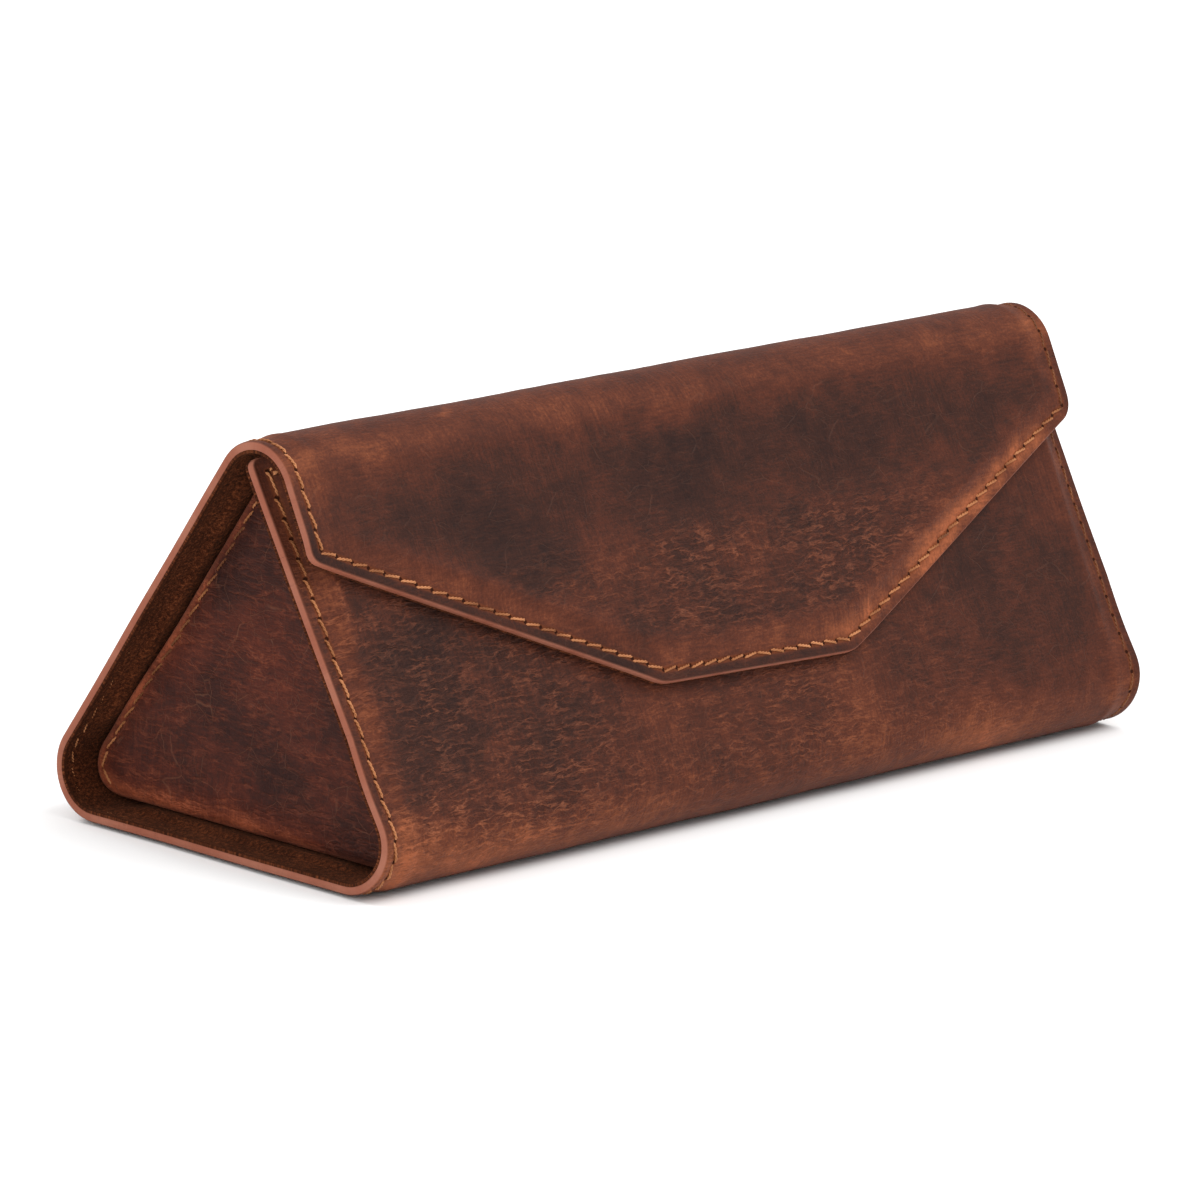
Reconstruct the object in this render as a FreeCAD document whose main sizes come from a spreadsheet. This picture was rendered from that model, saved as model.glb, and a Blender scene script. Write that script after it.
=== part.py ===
import FreeCAD, Part
import math
import os
import re
import Sketcher
from FreeCAD import Placement, Rotation, Vector

# A leather eyeglasses case of triangular section, lying along X on its base.
# +Z is up, -Y is the front, and the origin is under the centre of the base.
#
# One strip of leather, lined with suede, runs up the front, round the base, up the
# back, over the apex and down again as a flap.  Stiff boards lie between leather and
# lining in each flat panel.  Two gussets close the ends; they are glued to the front
# and the base and are free at the back, so that the back panel can lean away.
#
# Each flat panel has a frame of its own: x along the case, y along the panel and z
# outwards, with the origin on the axis of a fold.  The three fold axes are the front
# bottom edge, the rear bottom edge and the apex.  All folds have one outer radius.

DIMENSIONS = {
    # Whole section, in mm and degrees.
    "case_length": 165,
    "base_span": 49.5,          # between the two bottom fold axes
    "front_slope": 63,
    "back_slope": 57,
    "fold_radius": 7.5,         # outer face of the leather
    # Layers.
    "leather_skin": 1.2,
    "lining_skin": 0.5,
    "board_skin": 1.2,
    "pad_rise": 0.5,            # leather stands this proud over a board
    "lining_bulge": 0.7,        # lining stands this proud over a board
    "panel_gap": 0.3,           # flap lining to front leather
    "field_margin": 5.5,        # panel edge to the raised field
    "board_inset": 0.2,         # board edge inside its pocket
    "body_seam": 0.1,           # left between pieces that move apart
    # Front and flap outlines.
    "front_overrun": 3.3,       # front edge past the foot of the apex axis
    "flap_side": 11.8,          # flap corner below the apex axis
    "flap_start": 13,           # where the stiff part of the flap begins
    "flap_drop": 39.5,
    "flap_half_width": 20.5,
    # Seams.
    "stitch_margin": 1.9,
    "groove_width": 0.9,
    "groove_depth": 0.5,
    "thread_width": 0.7,
    "thread_height": 0.4,
    # Gussets.
    "gusset_recess": 5.5,
    "gusset_skin": 1.1,
    "gusset_board_skin": 1,
    "gusset_gap": 0.8,          # hem to the back lining
    "gusset_clearance": 0.1,
    "gusset_top": 55,
    "gusset_board_top": 46,
    "hem_width": 5,
    "hem_stitch": 1.6,
    "flange_width": 6,
    "flange_skin": 1,
    # Closure.
    "magnet_diameter": 10,
    "magnet_skin": 1,
    "magnet_spacing": 24,
    "magnet_drop": 27.5,          # below the apex axis
    "magnet_clearance": 0.1,
}

# Lengths that follow from the dimensions.
DERIVED = {
    "half_length": "case_length / 2",
    "wall": "leather_skin + lining_skin",
    "axis_height": "fold_radius + pad_rise",
    "front_axis_y": "0 - base_span / 2",
    "rear_axis_y": "base_span / 2",
    "flap_lift": "pad_rise + panel_gap + lining_bulge + wall",
    "apex_angle": "front_slope + back_slope",
    "back_run": "(flap_lift + base_span * sin(front_slope)) / sin(apex_angle)",
    "front_run": "base_span * cos(front_slope) - back_run * cos(apex_angle)",
    "apex_axis_y": "rear_axis_y - back_run * cos(back_slope)",
    "apex_axis_z": "axis_height + back_run * sin(back_slope)",
    "front_top": "front_run + front_overrun",
    # Levels above a panel's frame.
    "leather_under": "fold_radius - leather_skin",
    "lining_under": "fold_radius - wall",
    "board_top": "leather_under + pad_rise",
    "board_under": "board_top - board_skin",
    "groove_floor": "fold_radius - groove_depth",
    # The slanting sides of the flap.
    "slant_x": "half_length - flap_half_width",
    "slant_y": "flap_drop - flap_side",
    "slant": "sqrt(slant_x * slant_x + slant_y * slant_y)",
    # Distances of gusset edges from the fold axes.
    "gusset_reach": "lining_under - lining_bulge - gusset_clearance",
    "hem_reach": "lining_under - lining_bulge - gusset_gap",
    "board_reach": "gusset_reach - flange_skin - board_inset",
    "board_hem": "hem_reach - hem_width - board_inset",
    "gusset_face": "half_length - gusset_recess",
    "gusset_foot": "axis_height - gusset_reach",
    "hem_foot": "axis_height + hem_reach * cos(back_slope)",
}

# Panel frames: y and z of the origin, and the turn about X.
FRAMES = {
    "front": ("front_axis_y", "axis_height", "front_slope"),
    "base": ("rear_axis_y", "axis_height", "180"),
    "back": ("apex_axis_y", "apex_axis_z", "0 - back_slope"),
    "flap": ("apex_axis_y", "apex_axis_z", "front_slope"),
    "world": ("0", "0", "0"),
}

doc = FreeCAD.newDocument("eyeglasses_case")
sheet = doc.addObject("Spreadsheet::Sheet", "spec")
probe = doc.addObject("App::FeaturePython", "probe")
parts = []


def fill_sheet():
    for row, (alias, value) in enumerate(DIMENSIONS.items(), start=1):
        sheet.set(f"A{row}", str(value))
        sheet.setAlias(f"A{row}", alias)
    probe.addProperty("App::PropertyFloat", "Value")
    doc.recompute()


def expr(text):
    """Write out the derived lengths in text and point its names at the sheet."""
    def spell(match):
        word = match.group(0)
        if word in DERIVED:
            return f"({expr(DERIVED[word])})"
        return f"spec.{word}" if word in DIMENSIONS else word
    return re.sub(r"[a-z_]+", spell, text)


def number(text):
    """The present value of a length or angle, read from a property bound to it."""
    probe.setExpression("Value", expr(text))
    probe.recompute()
    return probe.Value


# ---- sketches and features ------------------------------------------------------

def new_body(name, frame):
    y, z, turn = FRAMES[frame]
    body = doc.addObject("PartDesign::Body", name)
    body.Label = name
    body.AllowCompound = True
    body.Placement = Placement(Vector(), Rotation(Vector(1, 0, 0), 1))  # gives the turn its axis
    body.setExpression(".Placement.Base.y", expr(y))
    body.setExpression(".Placement.Base.z", expr(z))
    body.setExpression(".Placement.Rotation.Angle", f"({expr(turn)}) * 1 deg")
    parts.append(body)
    return body


def origin_plane(body, role):
    return next(f for f in body.Origin.OriginFeatures if f.Role == role)


def edge_between(start, end, radius):
    """A straight edge, or an arc that turns left from start to end."""
    if radius is None:
        return Part.LineSegment(start, end)
    chord = end - start
    left = Vector(-chord.y, chord.x, 0).normalize()
    centre = (start + end) * 0.5 + left * math.sqrt(radius ** 2 - (chord.Length / 2) ** 2)
    first = math.atan2(start.y - centre.y, start.x - centre.x)
    last = math.atan2(end.y - centre.y, end.x - centre.x)
    return Part.ArcOfCircle(Part.Circle(centre, Vector(0, 0, 1), radius), first, last)


def bind(sketch, constraint, text):
    index = sketch.addConstraint(constraint)
    sketch.setExpression(f"Constraints[{index}]", expr(text))


def pin_corner(sketch, edge, corner, point):
    for kind, axis, text, value in (("DistanceX", -2, corner[0], point.x),
                                    ("DistanceY", -1, corner[1], point.y)):
        if text == "0":
            sketch.addConstraint(Sketcher.Constraint("PointOnObject", edge, 1, axis))
        else:
            bind(sketch, Sketcher.Constraint(kind, -1, 1, edge, 1, value), text)


def add_circle(sketch, centre_x, centre_y, radius):
    centre = Vector(number(centre_x), number(centre_y), 0)
    edge = sketch.addGeometry(Part.Circle(centre, Vector(0, 0, 1), number(radius)))
    bind(sketch, Sketcher.Constraint("DistanceX", -1, 1, edge, 3, centre.x), centre_x)
    bind(sketch, Sketcher.Constraint("DistanceY", -1, 1, edge, 3, centre.y), centre_y)
    bind(sketch, Sketcher.Constraint("Radius", edge, number(radius)), radius)


def add_loop(sketch, corners):
    """A closed loop.  A corner is (x, y), or (x, y, radius) where an arc leaves it.

    A loop of one corner is a circle about it.
    """
    if len(corners) == 1:
        add_circle(sketch, *corners[0])
        return
    points = [Vector(number(corner[0]), number(corner[1]), 0) for corner in corners]
    first = sketch.GeometryCount
    for index, corner in enumerate(corners):
        radius = number(corner[2]) if len(corner) > 2 else None
        sketch.addGeometry(edge_between(points[index], points[(index + 1) % len(points)], radius))
    for index, corner in enumerate(corners):
        after = (index + 1) % len(corners)
        sketch.addConstraint(Sketcher.Constraint("Coincident", first + index, 2, first + after, 1))
        pin_corner(sketch, first + index, corner, points[index])
        if len(corner) > 2:
            radius = Sketcher.Constraint("Radius", first + index, number(corner[2]))
            bind(sketch, radius, corner[2])


def new_sketch(body, name, loops, level="0", turn="0", role="XY_Plane"):
    """A sketch on a plane of the body, raised by level and turned about the body's X."""
    sketch = body.newObject("Sketcher::SketchObject", f"{body.Name}_{name}_sketch")
    sketch.AttachmentSupport = [(origin_plane(body, role), "")]
    sketch.MapMode = "FlatFace"
    sketch.AttachmentOffset = Placement(Vector(), Rotation(Vector(1, 0, 0), number(turn)))
    if turn != "0":
        sketch.setExpression(".AttachmentOffset.Rotation.Angle", f"({expr(turn)}) * 1 deg")
        sketch.setExpression(".AttachmentOffset.Base.y", expr(f"0 - ({level}) * sin({turn})"))
        sketch.setExpression(".AttachmentOffset.Base.z", expr(f"({level}) * cos({turn})"))
    else:
        sketch.setExpression(".AttachmentOffset.Base.z", expr(level))
    for corners in loops:
        add_loop(sketch, corners)
    return sketch


def check_change(body, name, before, grows):
    doc.recompute()
    change = body.Shape.Volume - before
    if (change > 0) != grows:
        raise RuntimeError(f"{body.Label}: {name} changed the volume by {change:.3f}")


def volume_of(body):
    return body.Shape.Volume if not body.Shape.isNull() else 0.0


def extrude(kind, body, name, loops, level, height, reverse=False, **place):
    """Pad or Pocket.  Both run along +z of the sketch unless reverse is set."""
    before = volume_of(body)
    sketch = new_sketch(body, name, loops, level, **place)
    feature = body.newObject(f"PartDesign::{kind}", f"{body.Name}_{name}")
    feature.Profile = sketch
    feature.Reversed = reverse if kind == "Pad" else not reverse
    feature.setExpression("Length", expr(height))
    check_change(body, name, before, kind == "Pad")


def revolve(kind, body, name, loops, angle, turn="0"):
    """Revolution or Groove of an (x, z) profile about the panel's fold axis."""
    before = volume_of(body)
    sketch = new_sketch(body, name, loops, turn=f"{turn} + 90")
    feature = body.newObject(f"PartDesign::{kind}", f"{body.Name}_{name}")
    feature.Profile = sketch
    feature.ReferenceAxis = (sketch, ["H_Axis"])
    feature.setExpression("Angle", f"({expr(angle)}) * 1 deg")
    check_change(body, name, before, kind == "Revolution")


# ---- outlines ---------------------------------------------------------------------

def rectangle(x_low, x_high, y_low, y_high):
    return [(x_low, y_low), (x_high, y_low), (x_high, y_high), (x_low, y_high)]


def across(inset, y_low, y_high):
    """A rectangle over the case's length, less inset at each end."""
    return rectangle(f"{inset} - half_length", f"half_length - ({inset})", y_low, y_high)


def mirrored(corners):
    return [(f"0 - ({x})", y) for x, y in reversed(corners)]


def both_ends(corners):
    return [corners, mirrored(corners)]


def seam_strips(width, y_low, y_high):
    """The seam along both ends of a panel, as strips of a given width."""
    return both_ends(rectangle(f"half_length - stitch_margin - {width} / 2",
                               f"half_length - stitch_margin + {width} / 2", y_low, y_high))


def front_seam(width):
    """The seam up one end of the front, along its top and down the other end."""
    outer, inner = f"(stitch_margin - {width} / 2)", f"(stitch_margin + {width} / 2)"
    return [("half_length - " + outer, "0"),
            ("half_length - " + outer, "front_top - " + outer),
            (outer + " - half_length", "front_top - " + outer),
            (outer + " - half_length", "0"),
            (inner + " - half_length", "0"),
            (inner + " - half_length", "front_top - " + inner),
            ("half_length - " + inner, "front_top - " + inner),
            ("half_length - " + inner, "0")]


def slant_at(inset, y):
    """x of the flap's slanting side, moved in by inset, at y below the apex axis."""
    return f"half_length - (({inset}) * slant + (({y}) - flap_side) * slant_x) / slant_y"


def flap_outline(inset="0", top="flap_start"):
    low = f"flap_drop - ({inset})"
    right = [(slant_at(inset, low), f"0 - ({low})"), (slant_at(inset, top), f"0 - ({top})")]
    return right + mirrored(right)


def flap_seam(width):
    outer, inner = f"(stitch_margin - {width} / 2)", f"(stitch_margin + {width} / 2)"
    rim, inside = flap_outline(outer), flap_outline(inner)
    return rim[2:] + rim[:2] + inside[1::-1] + inside[:1:-1]


def apex_seam(width):
    """The seam on the soft strip above the flap: straight down, then along the slant."""
    sides = []
    for inset in (f"(stitch_margin - {width} / 2)", f"(stitch_margin + {width} / 2)"):
        turn = f"flap_side - {inset} * (slant - slant_y) / slant_x"
        sides.append([(f"half_length - {inset}", "0"),
                      (f"half_length - {inset}", f"0 - ({turn})"),
                      (slant_at(inset, "flap_start"), "0 - flap_start")])
    return both_ends(sides[0] + sides[1][::-1])


def apex_strip():
    side = [("half_length", "0 - flap_side"), ("half_length", "0")]
    tip = (slant_at("0", "flap_start"), "0 - flap_start")
    return [tip] + side + mirrored(side) + mirrored([tip])


def front_at(reach, z):
    """y of the line parallel to the front, reach outside the fold axes, at height z."""
    return f"front_axis_y + (({z} - axis_height) * cos(front_slope) - ({reach})) / sin(front_slope)"


def back_at(reach, z):
    """y of the line parallel to the back, reach outside the fold axes, at height z."""
    return f"rear_axis_y + (({reach}) - ({z} - axis_height) * cos(back_slope)) / sin(back_slope)"


def gusset_outline():
    """Front, base and hem edges, with the two bottom corners rounded to the folds."""
    shoulder = "axis_height + gusset_reach * cos(front_slope)"
    return [(front_at("gusset_reach", "gusset_top"), "gusset_top"),
            ("front_axis_y - gusset_reach * sin(front_slope)", shoulder, "gusset_reach"),
            ("front_axis_y", "gusset_foot"),
            ("rear_axis_y", "gusset_foot", "gusset_reach"),
            ("rear_axis_y + hem_reach * sin(back_slope)", "hem_foot"),
            (back_at("hem_reach", "gusset_top"), "gusset_top")]


def gusset_board_outline():
    top, low = "gusset_board_top", "(axis_height - board_reach)"
    shoulder = "axis_height + board_reach * cos(front_slope)"
    return [(front_at("board_reach", top), top),
            ("front_axis_y - board_reach * sin(front_slope)", shoulder, "board_reach"),
            ("front_axis_y", low),
            (back_at("board_hem", low), low),
            (back_at("board_hem", top), top)]


def hem_strip(outer, inner, z_low):
    """A strip along the gusset's hem, between two distances from the fold axes."""
    return [(back_at(inner, z_low), z_low), (back_at(outer, z_low), z_low),
            (back_at(outer, "gusset_top"), "gusset_top"),
            (back_at(inner, "gusset_top"), "gusset_top")]


def magnet_loops(clearance, y):
    """Two circles side by side."""
    radius = f"magnet_diameter / 2 + {clearance}"
    return [[(f"{side}magnet_spacing / 2", y, radius)] for side in ("", "0 - ")]


# ---- layers of one panel ------------------------------------------------------------

def add_leather(name, frame, outline, field, seams):
    body = new_body(name, frame)
    extrude("Pad", body, "skin", [outline], "leather_under", "leather_skin")
    extrude("Pad", body, "raised_field", [field], "fold_radius", "pad_rise")
    extrude("Pocket", body, "board_pocket", [field], "leather_under", "pad_rise")
    extrude("Pocket", body, "seam_groove", seams, "groove_floor", "groove_depth")


def add_lining(name, frame, outline, field, bulge):
    body = new_body(name, frame)
    extrude("Pad", body, "skin", [outline], "lining_under", "lining_skin")
    extrude("Pad", body, "bulge", [bulge], "lining_under - lining_bulge", "lining_bulge")
    extrude("Pocket", body, "board_recess", [field], "leather_under - lining_bulge", "lining_bulge")


def add_layers(name, frame, outline, field_at, seams, magnets_at=None):
    """Leather, lining and board of a panel.  field_at(inset) outlines the raised field."""
    add_leather(f"{name}_leather", frame, outline, field_at("field_margin"), seams)
    add_lining(f"{name}_lining", frame, outline, field_at("field_margin"),
               field_at("(field_margin - lining_skin)"))
    add_board(f"{name}_board", frame, field_at("(field_margin + board_inset)"), magnets_at)


def add_board(name, frame, outline, magnets_at=None):
    body = new_body(name, frame)
    extrude("Pad", body, "sheet", [outline], "board_under", "board_skin")
    if magnets_at is not None:
        holes = magnet_loops("magnet_clearance", magnets_at)
        extrude("Pocket", body, "magnet_holes", holes, "board_under", "board_skin")


def add_discs(name, frame, y):
    body = new_body(name, frame)
    level = "board_under + (board_skin - magnet_skin) / 2"
    extrude("Pad", body, "discs", magnet_loops("0", y), level, "magnet_skin")


def add_fold(name, frame, angle, low, high, grooved, turn="0"):
    """A bent strip that joins two panels round their fold axis."""
    body = new_body(name, frame)
    revolve("Revolution", body, "bend", [across("0", low, high)], angle, turn)
    if grooved:
        rings = seam_strips("groove_width", "groove_floor", high)
        revolve("Groove", body, "seam_groove", rings, angle, turn)
    return body


def thread_rings():
    return seam_strips("thread_width", "groove_floor", "groove_floor + thread_height")


def lay_thread(body, name, loops, turn="0"):
    extrude("Pad", body, name, loops, "groove_floor", "thread_height", turn=turn)


# ---- sub-parts ------------------------------------------------------------------------

def build_front():
    def field_at(inset):
        return across(inset, inset, f"front_top - {inset}")

    outline = across("0", "0", "front_top")
    keepers_at = "front_run - magnet_drop"
    add_layers("front", "front", outline, field_at, [front_seam("groove_width")], keepers_at)
    add_discs("front_keepers", "front", keepers_at)


def build_plain_panel(name, run):
    """Base or back: a panel that ends in a fold along both long edges."""
    def field_at(inset):
        return across(inset, inset, f"{run} - {inset}")

    outline = across("0", "body_seam", run)
    add_layers(name, name, outline, field_at, seam_strips("groove_width", "body_seam", run))


def build_flap():
    def field_at(inset):
        return flap_outline(inset, f"(flap_start + {inset})")

    magnets_at = "0 - magnet_drop"
    add_layers("flap", "flap", flap_outline(), field_at, [flap_seam("groove_width")], magnets_at)
    add_discs("flap_magnets", "flap", magnets_at)
    lay_thread(new_body("flap_thread", "flap"), "seam", [flap_seam("thread_width")])


def build_folds():
    leather = ("leather_under", "fold_radius", True)
    lining = ("lining_under", "leather_under", False)
    for layer, (low, high, grooved) in (("leather", leather), ("lining", lining)):
        add_fold(f"front_fold_{layer}", "front", "180 - front_slope", low, high, grooved)
        add_fold(f"rear_fold_{layer}", "base", "180 - back_slope", low, high, grooved)
        apex = add_fold(f"apex_fold_{layer}", "flap", "apex_angle", low, high, grooved,
                        "0 - apex_angle")
        extrude("Pad", apex, "strip", [apex_strip()], low, f"{high} - ({low})")
        if grooved:
            extrude("Pocket", apex, "strip_groove", apex_seam("groove_width"),
                    "groove_floor", "groove_depth")


def build_threads():
    tray = new_body("tray_thread", "front")
    lay_thread(tray, "front_seam", [front_seam("thread_width")])
    revolve("Revolution", tray, "fold_seam", thread_rings(), "180 - front_slope")
    base = seam_strips("thread_width", "body_seam - base_span", "0")
    lay_thread(tray, "base_seam", base, turn="180 - front_slope")

    rear = new_body("rear_fold_thread", "base")
    revolve("Revolution", rear, "fold_seam", thread_rings(), "180 - back_slope")

    back = new_body("back_thread", "back")
    lay_thread(back, "seam", seam_strips("thread_width", "body_seam", "back_run"))

    apex = new_body("apex_fold_thread", "flap")
    revolve("Revolution", apex, "fold_seam", thread_rings(), "apex_angle", "0 - apex_angle")
    lay_thread(apex, "strip_seam", apex_seam("thread_width"))


def build_gusset(side):
    """One end gusset.  Its layers are laid inwards from the outer face."""
    inwards = side == "right"
    sign = "" if inwards else "0 - "

    def lay(body, name, corners, depth, thickness, kind="Pad"):
        level = f"{sign}(gusset_face - ({depth}))"
        extrude(kind, body, name, [corners], level, thickness, inwards, role="YZ_Plane")

    leather = new_body(f"{side}_gusset_leather", "world")
    flange = "gusset_skin + flange_width"
    inner = "(gusset_reach - flange_skin)"
    front_low = "(axis_height + gusset_reach * cos(front_slope))"
    lay(leather, "skin", gusset_outline(), "0", "gusset_skin")
    lay(leather, "hem", hem_strip("hem_reach", "(hem_reach - hem_width)", "hem_foot"),
        "0", "gusset_skin + gusset_board_skin")
    lay(leather, "front_flange",
        [(front_at("gusset_reach", "gusset_top"), "gusset_top"),
         (front_at("gusset_reach", front_low), front_low),
         (front_at(inner, front_low), front_low),
         (front_at(inner, "gusset_top"), "gusset_top")], "0", flange)
    lay(leather, "base_flange",
        rectangle("front_axis_y", "rear_axis_y", "gusset_foot", "gusset_foot + flange_skin"),
        "0", flange)
    groove = hem_strip("(hem_reach - hem_stitch + groove_width / 2)",
                       "(hem_reach - hem_stitch - groove_width / 2)", "hem_foot")
    lay(leather, "seam_groove", groove, "0", "groove_depth", "Pocket")

    board = new_body(f"{side}_gusset_board", "world")
    lay(board, "sheet", gusset_board_outline(), "gusset_skin", "gusset_board_skin")

    lining = new_body(f"{side}_gusset_lining", "world")
    lay(lining, "skin", gusset_board_outline(), "gusset_skin + gusset_board_skin", "lining_skin")

    thread = new_body(f"{side}_gusset_thread", "world")
    seam = hem_strip("(hem_reach - hem_stitch + thread_width / 2)",
                     "(hem_reach - hem_stitch - thread_width / 2)", "hem_foot")
    lay(thread, "seam", seam, "groove_depth - thread_height", "thread_height")


def check_and_export():
    doc.removeObject(probe.Name)
    doc.recompute()
    for item in doc.Objects:
        if "Invalid" in item.State or "Error" in item.State:
            raise RuntimeError(f"{item.Label} failed: {item.State}")
    for part in parts:
        if part.Shape.isNull() or not part.Shape.isValid():
            raise RuntimeError(f"{part.Label} has no valid shape")
    os.makedirs("parts", exist_ok=True)
    for part in parts:
        part.Shape.exportStep(f"parts/{part.Label}.step")
        print(f"{part.Label}: {len(part.Shape.Solids)} solid(s), {part.Shape.Volume:.1f} mm3")


fill_sheet()
build_front()
build_plain_panel("base", "base_span")
build_plain_panel("back", "back_run")
build_flap()
build_folds()
build_threads()
for end in ("left", "right"):
    build_gusset(end)
check_and_export()
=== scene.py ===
import math

import bpy
import numpy as np
from mathutils import Matrix, Vector, geometry, noise


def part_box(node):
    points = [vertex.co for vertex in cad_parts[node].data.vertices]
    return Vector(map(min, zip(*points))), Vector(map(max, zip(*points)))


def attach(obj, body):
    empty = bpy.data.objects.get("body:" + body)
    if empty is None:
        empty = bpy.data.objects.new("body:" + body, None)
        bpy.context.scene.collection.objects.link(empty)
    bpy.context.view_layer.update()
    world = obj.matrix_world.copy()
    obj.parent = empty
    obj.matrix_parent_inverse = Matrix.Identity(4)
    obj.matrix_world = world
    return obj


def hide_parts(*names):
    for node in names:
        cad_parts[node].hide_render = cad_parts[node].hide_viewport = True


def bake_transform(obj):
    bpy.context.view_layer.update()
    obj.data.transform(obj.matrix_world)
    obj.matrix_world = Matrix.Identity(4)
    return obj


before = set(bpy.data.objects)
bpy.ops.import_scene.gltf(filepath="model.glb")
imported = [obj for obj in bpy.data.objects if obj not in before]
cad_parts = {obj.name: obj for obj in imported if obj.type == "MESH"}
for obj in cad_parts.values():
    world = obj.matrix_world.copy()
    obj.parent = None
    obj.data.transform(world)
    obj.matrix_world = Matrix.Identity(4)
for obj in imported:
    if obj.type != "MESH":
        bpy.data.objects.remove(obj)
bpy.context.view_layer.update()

# The looks of a leather eyeglasses case.  Lengths are in mm until a mesh is made.
#
# One strip of leather is described in flat coordinates: x along the case, and s along
# the section from the front's top edge, down the front, under the base, up the back,
# over the apex and down the flap.  A level r above the fold axes turns (x, s, r) into
# a point of the case, so panels and folds are one continuous surface.

MM = 0.001
rng = np.random.default_rng(7)

# ---- the section, as in the CAD part ----

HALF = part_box("front_leather")[1].x / MM
FOLD_RADIUS = 7.5     # to the outer face of the leather
BASE_SPAN = 49.5      # between the two bottom fold axes
AXIS_HEIGHT = 8.0     # of those two axes above the floor
FRONT_SLOPE = math.radians(63)
BACK_SLOPE = math.radians(57)
FLAP_LIFT = 3.2       # room for the flap over the front
BACK_RUN = ((FLAP_LIFT + BASE_SPAN * math.sin(FRONT_SLOPE))
            / math.sin(FRONT_SLOPE + BACK_SLOPE))
FRONT_TOP = (BASE_SPAN * math.cos(FRONT_SLOPE)
             - BACK_RUN * math.cos(FRONT_SLOPE + BACK_SLOPE) + 3.3)
FLAP_CORNER = 11.8    # from the apex fold down to the flap's corners
FLAP_START = 13.0     # and to where its stiff part begins
FLAP_DROP = 39.5      # and to its tip
FLAP_HALF = 20.5      # half the width of its tip
# Drop of the flap's slanting sides for each mm of x, and their length.
SLANT = (FLAP_DROP - FLAP_CORNER) / (HALF - FLAP_HALF)
SLANT_HYP = math.hypot(1, SLANT)

UP_FRONT = np.array([math.cos(FRONT_SLOPE), math.sin(FRONT_SLOPE)])
UP_BACK = np.array([-math.cos(BACK_SLOPE), math.sin(BACK_SLOPE)])
FRONT_AXIS = np.array([-BASE_SPAN / 2, AXIS_HEIGHT])
REAR_AXIS = np.array([BASE_SPAN / 2, AXIS_HEIGHT])
APEX_AXIS = REAR_AXIS + BACK_RUN * UP_BACK

TURNS = (153, 270, 270, 393, 393, 513)     # direction of the outward normal, degrees
FOLDS = [FOLD_RADIUS * math.radians(end - start) for start, end in zip(TURNS[::2], TURNS[1::2])]
RUNS = [FRONT_TOP, FOLDS[0], BASE_SPAN, FOLDS[1], BACK_RUN, FOLDS[2], FLAP_DROP]
S = np.concatenate([[0], np.cumsum(RUNS)])
(S_FRONT_FOLD, S_BASE, S_REAR_FOLD, S_BACK, S_APEX, S_FLAP, S_TIP) = S[1:]
MID_BASE = (S_BASE + S_REAR_FOLD) / 2
MID_BACK = (S_BACK + S_APEX) / 2
SPARE = 10.0    # straight run past both ends, for what stands out beyond them
KNOTS = np.concatenate([[-SPARE], S[1:7], [S_TIP + SPARE]])
AXES = np.array([FRONT_AXIS + (FRONT_TOP + SPARE) * UP_FRONT, FRONT_AXIS, FRONT_AXIS,
                 REAR_AXIS, REAR_AXIS, APEX_AXIS, APEX_AXIS,
                 APEX_AXIS - (FLAP_DROP + SPARE) * UP_FRONT])

# Levels above the fold axes, and how far the leather rises over a board and over a fold.
LEATHER_UNDER = 6.3
LINING_UNDER = 5.8
PAD_RISE = 0.5
FOLD_PUFF = 0.28

STITCH_MARGIN = 1.9     # from the strip's edge to its seam
STITCH_PITCH = 2.95
GUSSET_FACE = 77.0      # |x| of a gusset's outer face


def smooth(value, low, high):
    """A smooth step from 0 at low to 1 at high."""
    t = np.clip((value - low) / (high - low), 0, 1)
    return t * t * (3 - 2 * t)


def bell(value, width):
    """1 at 0, falling off on both sides over width."""
    return np.exp(-(value / width) ** 2)


def section(s):
    """Fold axis point (y, z) and outward normal (y, z) at each s."""
    turn = np.radians(np.interp(s, S[1:7], TURNS))
    axis = np.stack([np.interp(s, KNOTS, AXES[:, 0]), np.interp(s, KNOTS, AXES[:, 1])], -1)
    return axis, np.stack([np.cos(turn), np.sin(turn)], -1)


def to_world(x, s, r):
    """The point of the case at each x, s and level r."""
    axis, normal = section(s)
    return np.stack([x, axis[..., 0] + r * normal[..., 0], axis[..., 1] + r * normal[..., 1]], -1)


def noise_at(x, y, size, layer=0.0):
    """Smooth noise of about -1 to 1 at each point, with features of the given size."""
    flat = [noise.noise(Vector((a / size, b / size, layer))) for a, b in zip(x.flat, y.flat)]
    return 1.6 * np.array(flat).reshape(x.shape)


def meander_at(x, y, size, width, layer=0.0):
    """1 on winding lines about size apart, falling to 0 at a share width beside them."""
    return 1 - smooth(np.abs(noise_at(x, y, size, layer)), 0, width)


# ---- the strip's outline ----

def edge_distances(x, s):
    """Distance inside each edge: side, front top, slanting side and tip."""
    side = HALF - np.abs(x)
    slant = (FLAP_CORNER + side * SLANT - (s - S_FLAP)) / SLANT_HYP
    return np.stack([side, s + 0 * x, slant, S_TIP - s + 0 * x])


def rim_distance(x, s):
    """Distance from the nearest edge, rounded in the corners."""
    d = np.maximum(edge_distances(x, s), 0.02)
    return np.sum(d ** -5.0, axis=0) ** -0.2


CORNERS = [  # x, s, normal of one edge, normal of the other, radius on the right and left
    (HALF, 0.0, (1, 0), (0, -1), (1.4, 1.4)),
    (HALF, S_FLAP + FLAP_CORNER, (1, 0), (SLANT / SLANT_HYP, 1 / SLANT_HYP), (3.6, 2.2)),
    (FLAP_HALF, S_TIP, (SLANT / SLANT_HYP, 1 / SLANT_HYP), (0, 1), (3.0, 3.0)),
]


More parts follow.
